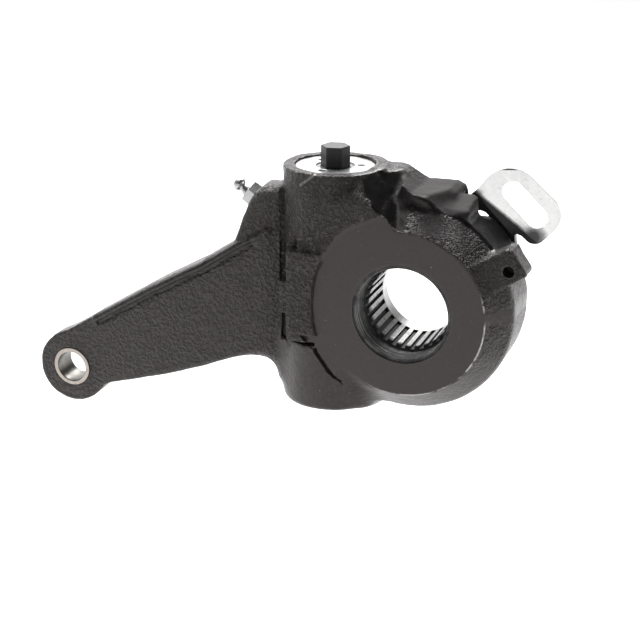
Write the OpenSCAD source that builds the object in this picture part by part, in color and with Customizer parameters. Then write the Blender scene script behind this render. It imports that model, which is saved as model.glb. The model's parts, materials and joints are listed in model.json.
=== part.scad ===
/* [Housing] */
// Radius of the cast hub round the splined bore
hub_r = 45.5; // [45:0.5:48]
// Radius of the machined front face
face_r = 36.2; // [34:0.1:38]
// Front face of the hub, measured from the arm's middle plane
hub_front = -18; // [-19:0.5:-17.5]
// Rear face of the hub
hub_rear = 18; // [17.9:0.1:19]
// Radius of the upright column that holds the worm
column_r = 22.2; // [21:0.1:24]
// Top of the worm column
column_top = 56.6; // [55.5:0.1:58]
// Bottom of the worm column
column_bottom = -48.5; // [-50:0.5:-46]

/* [Lever] */
// Clevis pin position along X
clevis_x = -164.5; // [-170:0.5:-158]
// Clevis pin position along Z
clevis_z = -51; // [-54:0.5:-48]
// Outer radius of the clevis eye
clevis_r = 16.4; // [14:0.1:18]
// Width of the clevis eye
clevis_w = 12; // [11:0.5:14]
// Inner radius of the clevis bush
bush_ri = 7.1; // [6:0.05:8]
// Outer radius of the clevis bush
bush_ro = 9.4; // [9:0.05:10]

/* [Worm drive] */
// Distance from the spline axis to the worm axis
centre_distance = 36.8; // [36.8:0.05:36.9]
// Module of the worm and wheel
gear_module = 2; // [2:0.05:2]
// Number of teeth on the worm wheel
wheel_teeth = 28; // [28:1:28]
// Number of splines in the wheel
spline_teeth = 28; // [20:1:30]
// Radius over the spline tips
spline_minor_r = 18; // [17:0.05:18.4]
// Radius in the spline grooves
spline_major_r = 19.05; // [18.6:0.05:19.3]
// Width across the flats of the wrench hexagon
hex_af = 11.11; // [10:0.01:11.2]
// Height of the top of the hexagon
hex_top = 64.5; // [62:0.5:66]

/* [Control arm] */
// Thickness of the control arm's plate
arm_t = 4; // [3:0.5:4]
// Direction of the control arm above the X axis
arm_angle = 44.5; // [40:0.5:46]
// Distance from the spline axis to the bend
bend_u = 46; // [44:0.5:48]
// Backward tilt of the slotted tab
tab_tilt = 14; // [0:1:20]
// Width of the anchor slot
slot_w = 9.2; // [8:0.1:10]
// Length of the anchor slot
slot_l = 24.2; // [20:0.1:26]

/* [Hidden] */
$fn = 96;
xw = -centre_distance;
yw = 3;
wheel_r = gear_module * wheel_teeth / 2;
worm_r = centre_distance - wheel_r;
pitch = PI * gear_module;
lead_angle = atan(gear_module / (2 * worm_r));
stem_r = 6.5;
tooth_half = pitch / 4 - 0.17;
addendum = gear_module;
wheel_root = wheel_r - 2.4;
flank = tan(20);
y_mid = yw;
// control disc, cover and arm planes along Y
disc_y0 = 11.8;
disc_y1 = 14.6;
cover_y0 = 15.6;
arm_y0 = 23;
cover_r = 40;
cover_flat = 34.6;
cover_angles = [48, 0, -45, -88, -125, 122];
screw_pcr = 36.7;
// rack
rack_y = 15.2;
rack_z = 41;
rack_rr = 4.4;
ring_r = 9;
ring_m = 1;
rack_pitch_y = yw + ring_r;
notch_r = 31;
// grease nipple seat and direction
nip = [-72.2, 0, 39.3];
nip_tilt = -57;
nip_len = 11.2;

// ---- helpers -------------------------------------------------------------
module cyl_y(r, y0, y1, x = 0, z = 0) translate([x, y1, z]) rotate([90, 0, 0]) cylinder(r = r, h = y1 - y0);
module cyl_z(r, z0, z1) translate([xw, yw, z0]) cylinder(r = r, h = z1 - z0);
module cyl_x(r, x0, x1, y, z) translate([x0, y, z]) rotate([0, 90, 0]) cylinder(r = r, h = x1 - x0);
module plate_y(y0, y1) translate([0, y1, 0]) rotate([90, 0, 0]) linear_extrude(y1 - y0) children();
module lathe_y() rotate([-90, 0, 0]) rotate_extrude() children();
module at_worm() translate([xw, yw, 0]) children();
module at_nipple() translate(nip) rotate([0, nip_tilt, 0]) children();

// A round wire wound on a cylinder, from height z0 to z1
module coil(mean_r, wire_r, z0, z1, turns, sides = 8, per_turn = 20) {
    n = round(turns * per_turn);
    rise = z1 - z0 - 2 * wire_r;
    pts = [for (i = [0:n], k = [0:sides - 1])
        let (a = 360 * turns * i / n, b = 360 * k / sides, r = mean_r + wire_r * cos(b))
        [r * cos(a), r * sin(a), z0 + wire_r + rise * i / n + wire_r * sin(b)]];
    sides_f = [for (i = [0:n - 1], k = [0:sides - 1])
        [i * sides + k, i * sides + (k + 1) % sides, (i + 1) * sides + (k + 1) % sides, (i + 1) * sides + k]];
    caps = [[for (k = [0:sides - 1]) sides - 1 - k], [for (k = [0:sides - 1]) n * sides + k]];
    polyhedron(pts, concat([for (f = sides_f) [f[3], f[2], f[1]]], [for (f = sides_f) [f[3], f[1], f[0]]],
        [for (c = caps) [for (j = [len(c) - 1:-1:0]) c[j]]]), convexity = 8);
}

// Ridge of a right-hand worm, trapezoid in section
module worm_thread(z0, z1, per_turn = 24) {
    turns = (z1 - z0) / pitch;
    n = round(turns * per_turn);
    tip = worm_r + addendum;
    foot = stem_r - 0.3;
    th_tip = tooth_half - addendum * flank;
    th_foot = tooth_half + (worm_r - foot) * flank;
    prof = [[foot, -th_foot], [tip, -th_tip], [tip, th_tip], [foot, th_foot]];
    a0 = 360 * (z0 - pitch / 2) / pitch;
    pts = [for (i = [0:n], q = prof)
        let (a = a0 + 360 * turns * i / n)
        [q[0] * cos(a), q[0] * sin(a), z0 + (z1 - z0) * i / n + q[1]]];
    faces = [for (i = [0:n - 1], k = [0:3])
        [i * 4 + k, (i + 1) * 4 + k, (i + 1) * 4 + (k + 1) % 4, i * 4 + (k + 1) % 4]];
    polyhedron(pts, concat([for (f = faces) [f[3], f[2], f[1]]], [for (f = faces) [f[3], f[1], f[0]]],
        [[0, 1, 2, 3], [n * 4 + 3, n * 4 + 2, n * 4 + 1, n * 4]]), convexity = 8);
}

// ---- cast housing with its lever ------------------------------------------
module lever_outline() polygon([
    [-45, 46], [-57, 46.9], [-66.3, 46.4], [-70.1, 42.8], [-72.7, 38.5], [-76.7, 28.2], [-79.6, 20.1],
    [-95.6, 9.4], [-121.2, -4.9], [-147.6, -21.6], [-173.1, -37.3], [clevis_x, clevis_z],
    [-155, -62.6], [-147.3, -56.4], [-133.8, -53.9], [-115.2, -47.9], [-97, -41],
    [-80.8, -34.4], [-70, -32.9], [-63, -35], [-58.7, -40], [-45, -44]]);

module lever_plan() polygon([[-40, -9.4], [-78, -9.2], [-100, -8.4], [-130, -7], [-150, -6], [-182, -6],
    [-182, 6], [-150, 6], [-130, 7], [-100, 8.4], [-78, 9.2], [-40, 9.4]]);

module housing() color([0.13, 0.13, 0.13]) difference() {
    union() {
        lathe_y() polygon([[0, hub_front], [face_r, hub_front], [hub_r, -7.2], [hub_r, hub_rear], [0, hub_rear]]);
        // ear of the face at its upper left
        intersection() {
            cyl_y(39.4, hub_front, -6, -2.2, 3.8);
            translate([-60, -30, 0]) cube([56, 40, 60]);
        }
        cyl_z(column_r, column_bottom, column_top);
        intersection() {
            plate_y(-12, 12) lever_outline();
            translate([0, 0, -90]) linear_extrude(180) lever_plan();
        }
        cyl_y(clevis_r, -clevis_w / 2, clevis_w / 2, clevis_x, clevis_z);
        // raised pad beside the face
        translate([-52, -20.2, -18.5]) cube([16, 20.8, 41]);
        // rack boss and its web to the column
        cyl_x(7.5, -62, 16, rack_y, rack_z);
        plate_y(3, 20) polygon([[-30, 30], [-30, 55], [-13, 55.6], [-6, 54.6], [1.5, 49.2], [13.6, 48.2], [16, 44.6], [16, 34], [20, 28]]);
        // lug with the pointer hole
        rotate([0, -31, 0]) plate_y(-16, -4.5) polygon([[30, -8.6], [36, -8.2], [55.2, -7.6], [56, -6], [55.4, 4.4], [53.6, 6], [30, 6]]);
    }
    // machined front face
    cyl_y(39.2, -30, hub_front);
    intersection() {
        cyl_y(39.41, -30, hub_front, -2.2, 3.8);
        translate([-60, -30, 8]) cube([70, 40, 60]);
    }
    // seat of the front wheel seal
    cyl_y(23.2, -13.3, -10.7);
    // wheel seat, wheel chamber, control disc pocket and cover seat
    cyl_y(21.5, -30, 0);
    cyl_y(wheel_r + addendum + 0.7, -6, 30);
    cyl_y(33.4, disc_y0 - 0.2, 30);
    intersection() {
        cyl_y(cover_r + 0.1, cover_y0 - 0.4, 40);
        translate([-60, 0, -60]) cube([120, 60, 60 + cover_flat + 0.1]);
    }
    // worm chamber, cover seat and plug seat
    cyl_z(11.8, -42.1, 47);
    cyl_z(17.04, 46.9, column_top + 1);
    cyl_z(13.5, column_bottom - 1, -42);
    // rack bore and the slot for its finger
    cyl_x(rack_rr + 0.05, -59, 30, rack_y, rack_z);
    translate([-10.5, disc_y0 - 0.2, 26]) cube([25, 3.2, rack_z - 26]);
    cyl_x(5.6, 13.4, 30, rack_y, rack_z);
    // clevis eye
    cyl_y(bush_ro, -20, 20, clevis_x, clevis_z);
    // screw holes for the rear cover
    for (a = cover_angles) cyl_y(2, 5.5, 30, screw_pcr * cos(a), screw_pcr * sin(a));
    // grease passage and its seat
    at_nipple() translate([0, 0, -7.5]) cylinder(r = 3, h = 20);
    at_nipple() translate([0, 0, -40]) cylinder(r = 1.3, h = 40);
    at_nipple() cylinder(r = 6.2, h = 14);
    // blind pointer hole in the lug
    rotate([0, -31, 0]) cyl_y(2.4, -20, -9, 49.7, -2.7);
}

module clevis_bush() color([0.72, 0.66, 0.6]) difference() {
    cyl_y(bush_ro, -clevis_w / 2 - 0.3, clevis_w / 2 + 0.3, clevis_x, clevis_z);
    cyl_y(bush_ri, -20, 20, clevis_x, clevis_z);
}

// ---- worm wheel with the splined bore --------------------------------------
// The gap between two teeth of the wheel, inclined to the worm's lead
module wheel_space() {
    top = addendum + 1;
    w_root = PI * wheel_root / wheel_teeth - (tooth_half + 2.4 * flank);
    w_top = PI * (wheel_r + top) / wheel_teeth - (tooth_half - top * flank);
    rotate([-lead_angle, 0, 0]) plate_y(-14, 14) polygon([
        [wheel_root, -w_root], [wheel_r + top, -w_top], [wheel_r + top, w_top], [wheel_root, w_root]]);
}

module worm_wheel() color([0.6, 0.6, 0.6]) difference() {
    tip = wheel_r + addendum;
    lathe_y() polygon([
        [20, -17.2], [21.45, -17.2], [21.45, y_mid - 8], [tip, y_mid - 8], [tip, y_mid + 8], [24.5, y_mid + 8],
        [24.5, 15.7], [22.7, 15.7], [22.7, 18.1], [24.5, 18.1], [24.5, 22.4], [18.9, 22.4], [18.9, 14],
        [spline_minor_r, 14], [spline_minor_r, -6], [20, -8]]);
    translate([0, y_mid, 0]) for (i = [0:wheel_teeth - 1]) rotate([0, 180 + (i + 0.5) * 360 / wheel_teeth, 0]) wheel_space();
    for (i = [0:spline_teeth - 1]) rotate([0, (i + 0.5) * 360 / spline_teeth, 0])
        translate([10, -20, -1.02]) cube([spline_major_r - 10, 33.6, 2.04]);
}

module wheel_front_oring() color([0.08, 0.08, 0.08]) lathe_y() translate([22.33, -12]) circle(r = 0.86, $fn = 32);
module wheel_rear_oring() color([0.08, 0.08, 0.08]) lathe_y() translate([23.6, 16.9]) circle(r = 0.88, $fn = 32);

// ---- worm column, from the bottom up ---------------------------------------
module bottom_plug() color([0.13, 0.13, 0.13]) difference() {
    union() {
        cyl_z(13.5, column_bottom + 0.6, -42);
        cyl_z(9, -42, -38);
    }
    cyl_z(stem_r + 0.05, -44, -30);
    cyl_z(9, column_bottom - 1, column_bottom + 1.6);
}

module clutch_spring() color([0.45, 0.45, 0.47]) at_worm() coil(10.2, 1.1, -41.9, -29.1, 3.5);
module spring_seat() color([0.5, 0.5, 0.5]) difference() { cyl_z(11.4, -29, -27); cyl_z(7.2, -30, -20); }
module thrust_washer_lower() color([0.7, 0.7, 0.7]) difference() { cyl_z(11.2, -26.95, -25.7); cyl_z(7.2, -30, -20); }
module thrust_rollers() color([0.78, 0.78, 0.8]) for (i = [0:9]) at_worm() rotate([0, 0, i * 36])
    translate([7.4, 0, -24.65]) rotate([0, 90, 0]) cylinder(r = 1, h = 3.4, $fn = 32);
module thrust_washer_upper() color([0.7, 0.7, 0.7]) difference() { cyl_z(11.2, -23.6, -22.35); cyl_z(stem_r + 0.02, -30, -20); }

module worm_shaft() color([0.25, 0.25, 0.26]) union() {
    cyl_z(stem_r, -43.6, 55.4);
    at_worm() worm_thread(-18, 18);
    cyl_z(9, -22.35, -19.4);
    intersection() {
        at_worm() rotate([0, 0, 13]) translate([0, 0, 55]) cylinder(d = hex_af / cos(30), h = hex_top - 55, $fn = 6);
        cyl_z(hex_af / 2 * 1.12, 50, hex_top);
    }
}

module coupling_cone() color([0.55, 0.55, 0.56]) difference() {
    union() { cyl_z(11, 21.5, 24.2); cyl_z(8.9, 24.2, 30); }
    cyl_z(stem_r + 0.02, 10, 40);
}

module clutch_gear() color([0.6, 0.58, 0.5]) difference() {
    union() {
        cyl_z(8.9, 30.3, 36.6);
        cyl_z(ring_r - 1.2, 36.5, 45.5);
        intersection() {
            cyl_z(ring_r + ring_m, 36.5, 45.5);
            at_worm() translate([0, 0, 36.5]) linear_extrude(9) for (i = [0:17]) rotate(90 + i * 20)
                polygon([[ring_r - 1.5, -1.2], [ring_r, -0.6], [ring_r + 1, -0.22], [ring_r + 1, 0.22], [ring_r, 0.6], [ring_r - 1.5, 1.2]]);
        }
    }
    cyl_z(stem_r + 0.06, 20, 50);
}

module wrap_spring() color([0.5, 0.5, 0.52]) at_worm() coil(9.8, 0.6, 25, 35.5, 7, 6);

module top_cover() color([0.8, 0.82, 0.82]) difference() {
    union() { cyl_z(17.04, 47, 55.9); cyl_z(11.7, 46, 47.2); }
    cyl_z(stem_r + 0.05, 40, 60);
    cyl_z(8.2, 50.5, 60);
    for (a = [20, 140, 260]) at_worm() rotate([0, 0, a]) translate([11, 0, 54.4]) cylinder(r = 1.6, h = 4);
}

module hex_seal() color([0.06, 0.06, 0.06]) difference() { cyl_z(8.2, 50.5, 55.2); cyl_z(stem_r + 0.02, 40, 60); }

// ---- rack ------------------------------------------------------------------
module rack() color([0.5, 0.5, 0.5]) union() {
    difference() {
        cyl_x(rack_rr, -50.5, 5, rack_y, rack_z);
        // toothed flat
        translate([-49.5, rack_y - 10, rack_z - 10]) cube([26, 10 + rack_pitch_y - ring_m - rack_y, 20]);
        for (i = [-4:4]) translate([xw + (i) * PI * ring_m, 0, rack_z - 10]) linear_extrude(20)
            polygon([[-0.45, rack_pitch_y + 1.28], [-1.06, rack_pitch_y - 0.35], [-1.4, rack_pitch_y - ring_m - 0.5],
                     [1.4, rack_pitch_y - ring_m - 0.5], [1.06, rack_pitch_y - 0.35], [0.45, rack_pitch_y + 1.28]]);
    }
    translate([-2.6, 12, 29.4]) cube([5.2, 2.4, rack_z - 29.4]);
}

module rack_spring() color([0.5, 0.5, 0.52]) translate([-58.9, rack_y, rack_z]) rotate([0, 90, 0]) coil(3, 0.5, 0, 8.3, 4, 6, 16);

module rack_plug() color([0.62, 0.63, 0.62]) difference() {
    cyl_x(5.58, 13.9, 16.4, rack_y, rack_z);
    translate([15, rack_y, rack_z]) rotate([0, 90, 0]) cylinder(r = 2.6, h = 6, $fn = 6);
}

// ---- control unit on the rear side ------------------------------------------
module control_disc() color([0.5, 0.5, 0.5]) difference() {
    union() {
        cyl_y(29.5, disc_y0, arm_y0);
        // ear with the notch for the rack's finger
        intersection() {
            cyl_y(33, disc_y0, disc_y1);
            translate([-11, disc_y0, 20]) cube([22, disc_y1 - disc_y0, 20]);
        }
    }
    cyl_y(24.55, 0, 40);
    translate([-3.9, 0, 28.6]) cube([7.8, disc_y1 + 0.0, 10]);
    for (i = [0:4]) rotate([0, i * 72 - 8, 0]) cyl_y(1.5, 18, 40, 27, 0);
}

module tab_outline() union() {
    translate([7.5, -6]) circle(r = 13.5);
    translate([13.2, 7.6]) circle(r = 8.8);
    translate([7, 11.4]) circle(r = 5.1);
    polygon([[-1.2, -18.2], [3, -18.8], [7.5, -19.5], [21, -6], [22, 7.6], [13.2, 16.4], [7, 16.5], [1.9, 11.4], [1.7, 9], [0.7, 7], [-1.2, 6.5]]);
}

module control_arm() color([0.86, 0.88, 0.88]) difference() {
    union() {
        cyl_y(33, arm_y0, arm_y0 + arm_t);
        rotate([0, -arm_angle, 0]) {
            plate_y(arm_y0, arm_y0 + arm_t) polygon([[20, 10], [20, -22], [29, -20], [36, 18.5 - 37 + 0], [bend_u, -6.5], [bend_u, 18.5], [38, 18.5], [28, 20]]);
            translate([bend_u, arm_y0, 0]) rotate([0, 0, tab_tilt]) intersection() {
                plate_y(0, arm_t) mirror([0, 1]) tab_outline();
                translate([-1.2, -1, -40]) cube([60, 20, 80]);
            }
        }
    }
    cyl_y(24.6, 0, 60);
    rotate([0, -arm_angle, 0]) {
        cyl_y(5.2, 0, 60, 37.4, 7.2);
        translate([bend_u, arm_y0, 0]) rotate([0, 0, tab_tilt]) plate_y(-10, 20) translate([11.2, 0.1]) rotate(2) union() {
            translate([0, -(slot_l - slot_w) / 2]) circle(d = slot_w);
            translate([0, (slot_l - slot_w) / 2]) circle(d = slot_w);
            translate([-slot_w / 2, -(slot_l - slot_w) / 2]) square([slot_w, slot_l - slot_w]);
        }
    }
    for (i = [0:4]) rotate([0, i * 72 - 8, 0]) cyl_y(1.5, 0, 60, 27, 0);
}

module control_rivets() color([0.8, 0.8, 0.8]) for (i = [0:4]) rotate([0, i * 72 - 8, 0]) {
    cyl_y(1.5, 18, arm_y0 + arm_t, 27, 0);
    translate([27, arm_y0 + arm_t, 0]) rotate([-90, 0, 0]) rotate_extrude($fn = 48) polygon([[0, 0], [2.3, 0], [2, 0.7], [1.2, 1.15], [0, 1.3]]);
}

module cover_plan(r, flat) intersection() { circle(r = r); translate([-60, -60]) square([120, 60 + flat]); }

module cover_gasket() color([0.1, 0.1, 0.1]) difference() {
    plate_y(cover_y0 - 0.4, cover_y0) cover_plan(cover_r, cover_flat);
    cyl_y(33.4, 0, 40);
    for (a = cover_angles) cyl_y(2.1, 0, 40, screw_pcr * cos(a), screw_pcr * sin(a));
}

module rear_cover() color([0.62, 0.64, 0.64]) difference() {
    plate_y(cover_y0, hub_rear) cover_plan(cover_r, cover_flat);
    cyl_y(29.58, 0, 40);
    for (a = cover_angles) cyl_y(2.1, 0, 40, screw_pcr * cos(a), screw_pcr * sin(a));
}

module cover_screws() color([0.7, 0.71, 0.71]) for (a = cover_angles) translate([screw_pcr * cos(a), 0, screw_pcr * sin(a)]) {
    cyl_y(2, 6, hub_rear);
    translate([0, hub_rear, 0]) rotate([-90, 0, 0]) cylinder(r = 3.3, h = 2.6, $fn = 6);
}

// ---- grease nipple ------------------------------------------------------------
module grease_nipple() color([0.78, 0.79, 0.78]) at_nipple() difference() {
    union() {
        translate([0, 0, -7]) cylinder(r = 3, h = 7.2);
        cylinder(r = 5.6, h = 3.8, $fn = 6);
        rotate_extrude() polygon([[0, 3.6], [3.6, 3.6], [3, 5], [2.2, 6.4], [2.2, 7.3], [3, 8.2], [3, 9.6], [1.8, nip_len], [0, nip_len]]);
    }
    translate([0, 0, -8]) cylinder(r = 1.2, h = 8 + nip_len - 0.9);
    cylinder(r = 0.85, h = 20);
}

module nipple_ball() color([0.85, 0.85, 0.86]) at_nipple() translate([0, 0, nip_len - 1.75]) sphere(r = 1.12, $fn = 48);
module nipple_spring() color([0.6, 0.6, 0.62]) at_nipple() coil(0.85, 0.18, -3.4, nip_len - 3, 6, 6, 16);

housing();
clevis_bush();
worm_wheel();
wheel_front_oring();
wheel_rear_oring();
worm_shaft();
coupling_cone();
thrust_rollers();
thrust_washer_upper();
thrust_washer_lower();
spring_seat();
clutch_spring();
bottom_plug();
top_cover();
hex_seal();
clutch_gear();
wrap_spring();
rack();
rack_spring();
rack_plug();
control_disc();
control_arm();
control_rivets();
rear_cover();
cover_gasket();
cover_screws();
grease_nipple();
nipple_ball();
nipple_spring();
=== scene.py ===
import json
import math
import bpy
import bmesh
import numpy as np
from mathutils import Matrix, Vector

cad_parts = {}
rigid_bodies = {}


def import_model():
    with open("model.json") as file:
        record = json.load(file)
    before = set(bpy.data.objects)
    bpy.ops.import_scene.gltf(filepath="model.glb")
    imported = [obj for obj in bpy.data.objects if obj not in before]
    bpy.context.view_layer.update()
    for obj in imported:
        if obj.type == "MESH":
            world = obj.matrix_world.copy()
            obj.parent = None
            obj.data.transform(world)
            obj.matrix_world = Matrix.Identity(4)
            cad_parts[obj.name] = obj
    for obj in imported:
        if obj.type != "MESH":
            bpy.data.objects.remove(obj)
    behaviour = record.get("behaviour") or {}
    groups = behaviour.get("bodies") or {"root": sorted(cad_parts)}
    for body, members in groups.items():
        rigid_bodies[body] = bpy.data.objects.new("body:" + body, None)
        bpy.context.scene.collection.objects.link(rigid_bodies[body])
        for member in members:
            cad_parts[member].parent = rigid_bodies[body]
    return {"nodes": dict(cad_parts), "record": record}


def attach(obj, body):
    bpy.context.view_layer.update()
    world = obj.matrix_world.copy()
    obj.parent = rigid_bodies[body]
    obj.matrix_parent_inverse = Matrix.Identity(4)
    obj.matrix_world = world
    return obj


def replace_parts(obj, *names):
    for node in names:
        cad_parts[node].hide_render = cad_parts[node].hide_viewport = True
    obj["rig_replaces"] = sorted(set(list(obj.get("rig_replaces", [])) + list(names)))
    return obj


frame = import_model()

NODES = frame["nodes"]
BODY_OF = {n: b for b, ns in frame["record"]["behaviour"]["bodies"].items() for n in ns}
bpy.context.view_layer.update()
MM = 0.001
scene = bpy.context.scene
RNG = np.random.RandomState(11)

# ---------------------------------------------------------------- materials


def node(t, kind, ins=None, **props):
    n = t.nodes.new(kind)
    for k, v in props.items():
        setattr(n, k, v)
    for k, v in (ins or {}).items():
        if isinstance(v, bpy.types.NodeSocket):
            t.links.new(v, n.inputs[k])
        else:
            n.inputs[k].default_value = v
    return n


def noise(t, co, scale, detail=2.0, rough=0.5):
    return node(t, "ShaderNodeTexNoise", {"Vector": co, "Scale": scale, "Detail": detail, "Roughness": rough}).outputs["Fac"]


def span(t, v, a, b, lo=0.0, hi=1.0):
    return node(t, "ShaderNodeMapRange", {"Value": v, "From Min": a, "From Max": b, "To Min": lo, "To Max": hi}, clamp=True).outputs["Result"]


def math_(t, op, a, b=0.0):
    return node(t, "ShaderNodeMath", {0: a, 1: b}, operation=op).outputs[0]


def mixf(t, f, a, b):
    return node(t, "ShaderNodeMix", {0: f, 2: a, 3: b}, data_type="FLOAT").outputs[0]


def mixc(t, f, a, b):
    n = node(t, "ShaderNodeMix", {0: f}, data_type="RGBA")
    for i, v in ((6, a), (7, b)):
        if isinstance(v, bpy.types.NodeSocket):
            t.links.new(v, n.inputs[i])
        else:
            n.inputs[i].default_value = (v[0], v[1], v[2], 1.0)
    return n.outputs[2]


def new_mat(name):
    m = bpy.data.materials.new(name)
    m.use_nodes = True
    t = m.node_tree
    bsdf = t.nodes["Principled BSDF"]
    co = t.nodes.new("ShaderNodeTexCoord").outputs["Object"]
    return m, t, bsdf, co


def bump(t, bsdf, height, strength, distance, normal=None):
    ins = {"Height": height, "Strength": strength, "Distance": distance}
    if normal is not None:
        ins["Normal"] = normal
    return node(t, "ShaderNodeBump", ins).outputs["Normal"]


def cast_paint():
    """Black paint over a sand-cast skin; smoother on the machined faces, worn to bare metal along the face's rim;
    painted shade makes it nearly black in the shaded zones and darker on the ledge tops.
    """
    m, t, b, co = new_mat("cast_paint")
    mach = node(t, "ShaderNodeAttribute", attribute_name="mach").outputs["Fac"]
    glit = node(t, "ShaderNodeAttribute", attribute_name="glit").outputs["Fac"]
    calm = node(t, "ShaderNodeAttribute", attribute_name="calm").outputs["Fac"]
    edge = node(t, "ShaderNodeAttribute", attribute_name="edge").outputs["Fac"]
    painted_shade = node(t, "ShaderNodeAttribute", attribute_name="painted_shade").outputs["Fac"]
    skin = noise(t, co, 620.0, 3.0, 0.6)
    pit = span(t, skin, 0.40, 0.60)
    grit = noise(t, co, 1700.0, 2.0, 0.6)
    cloud = noise(t, co, 60.0, 3.0, 0.55)
    xyz = node(t, "ShaderNodeSeparateXYZ", {0: co}).outputs
    rad = math_(t, "SQRT", math_(t, "ADD", math_(t, "MULTIPLY", xyz[0], xyz[0]), math_(t, "MULTIPLY", xyz[2], xyz[2])))
    line = span(t, math_(t, "ABSOLUTE", math_(t, "SUBTRACT", rad, 0.03572)), 0.00045, 0.00012)
    line = math_(t, "MULTIPLY", line, span(t, xyz[1], -0.0170, -0.0174))
    line = math_(t, "MULTIPLY", line, span(t, xyz[0], -0.006, 0.004))
    line = math_(t, "MULTIPLY", line, span(t, xyz[2], 0.014, 0.006))
    line = math_(t, "MULTIPLY", line, span(t, noise(t, co, 210.0, 3.0, 0.6), 0.40, 0.52))
    chip = math_(t, "MULTIPLY", span(t, noise(t, co, 760.0, 1.0, 0.4), 0.80, 0.82), 0.3)
    ax, az = math_(t, "ADD", xyz[0], 0.0456), math_(t, "SUBTRACT", xyz[2], 0.0507)
    along = math_(t, "ADD", math_(t, "MULTIPLY", ax, 0.782), math_(t, "MULTIPLY", az, 0.623))
    across = math_(t, "SUBTRACT", math_(t, "MULTIPLY", az, 0.782), math_(t, "MULTIPLY", ax, 0.623))
    across = math_(t, "ADD", across, math_(t, "MULTIPLY", math_(t, "SUBTRACT", cloud, 0.5), 0.0006))
    scratch = math_(t, "MULTIPLY", span(t, math_(t, "ABSOLUTE", across), 0.0007, 0.0003), math_(t, "MULTIPLY", span(t, along, 0.0, 0.001), span(t, along, 0.0108, 0.0095)))
    scratch = math_(t, "MULTIPLY", math_(t, "MULTIPLY", scratch, span(t, xyz[1], -0.008, -0.010)), span(t, grit, 0.3, 0.6, 0.15, 0.5))
    bare = math_(t, "MAXIMUM", math_(t, "MAXIMUM", line, chip), scratch)
    body = mixc(t, pit, (0.0062, 0.0054, 0.0052), (0.0370, 0.0322, 0.0306))
    body = mixc(t, span(t, cloud, 0.35, 0.7, 0.0, 0.45), body, (0.0150, 0.0130, 0.0123))
    face = mixc(t, span(t, grit, 0.3, 0.75), (0.022, 0.019, 0.018), (0.031, 0.0271, 0.0257))
    col = mixc(t, math_(t, "MAXIMUM", mach, math_(t, "MULTIPLY", calm, 0.6)), body, face)
    # Painted shade: darker paint on the ledge and step tops, which also get a dull finish.
    col = mixc(t, math_(t, "MULTIPLY", node(t, "ShaderNodeAttribute", attribute_name="dull_and_shaded").outputs["Fac"], 0.6), col, (0.0045, 0.004, 0.004))
    # Painted shade: nearly black paint over the right-facing wall, the web's front, the rib's band and the upper-right
    # flare and rim, and, at 0.6, over the glitter region.
    col = mixc(t, math_(t, "MAXIMUM", painted_shade, math_(t, "MULTIPLY", glit, 0.6)), col, (0.0032, 0.0028, 0.0028))
    speck = math_(t, "MULTIPLY", span(t, noise(t, co, 820.0, 2.0, 0.5), 0.70, 0.76), mach)
    col = mixc(t, math_(t, "MULTIPLY", speck, 0.5), col, (0.10, 0.094, 0.09))
    col = mixc(t, math_(t, "MULTIPLY", edge, span(t, cloud, 0.35, 0.62, 0.25, 0.9)), col, (0.045, 0.040, 0.038))
    col = mixc(t, bare, col, (0.45, 0.44, 0.42))
    t.links.new(col, b.inputs["Base Color"])
    rough = mixf(t, mach, mixf(t, cloud, 0.24, 0.36), mixf(t, grit, 0.30, 0.38))
    rough = mixf(t, glit, rough, 0.19)
    rough = mixf(t, node(t, "ShaderNodeAttribute", attribute_name="dull_and_shaded").outputs["Fac"], rough, 0.80)
    t.links.new(mixf(t, bare, rough, 0.36), b.inputs["Roughness"])
    t.links.new(math_(t, "MULTIPLY", bare, 0.8), b.inputs["Metallic"])
    b.inputs["Specular IOR Level"].default_value = 0.5
    b.inputs["Specular Tint"].default_value = (1.0, 0.94, 0.925, 1.0)
    h = mixf(t, glit, math_(t, "ADD", pit, math_(t, "MULTIPLY", grit, 0.4)), math_(t, "ADD", math_(t, "MULTIPLY", pit, 0.3), math_(t, "MULTIPLY", grit, 1.0)))
    amount = mixf(t, calm, mixf(t, glit, 0.95, 1.0), 0.14)
    amount = mixf(t, painted_shade, mixf(t, mach, amount, 0.04), 0.10)
    t.links.new(bump(t, b, h, amount, 0.00075), b.inputs["Normal"])
    return m


def metal(name, dark, light, rough, scale=420.0, metallic=1.0, marks=0.12, stain=None):
    m, t, b, co = new_mat(name)
    n1 = noise(t, co, scale, 4.0, 0.6)
    n2 = noise(t, co, 60.0, 3.0, 0.55)
    col = mixc(t, span(t, n2, 0.3, 0.7), dark, light)
    if stain is not None:
        col = mixc(t, span(t, noise(t, co, 150.0, 4.0, 0.65), 0.5, 0.72, 0.0, 0.8), col, stain)
    t.links.new(col, b.inputs["Base Color"])
    t.links.new(mixf(t, n1, rough * 0.75, rough * 1.35), b.inputs["Roughness"])
    b.inputs["Metallic"].default_value = metallic
    t.links.new(bump(t, b, noise(t, co, scale * 3.0, 3.0, 0.6), marks, 0.00012), b.inputs["Normal"])
    return m


def soft(name, dark, light, rough):
    m, t, b, co = new_mat(name)
    t.links.new(mixc(t, noise(t, co, 300.0, 3.0, 0.6), dark, light), b.inputs["Base Color"])
    t.links.new(mixf(t, noise(t, co, 700.0, 2.0, 0.5), rough * 0.85, rough * 1.15), b.inputs["Roughness"])
    t.links.new(bump(t, b, noise(t, co, 900.0, 3.0, 0.6), 0.2, 0.0002), b.inputs["Normal"])
    return m


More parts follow.
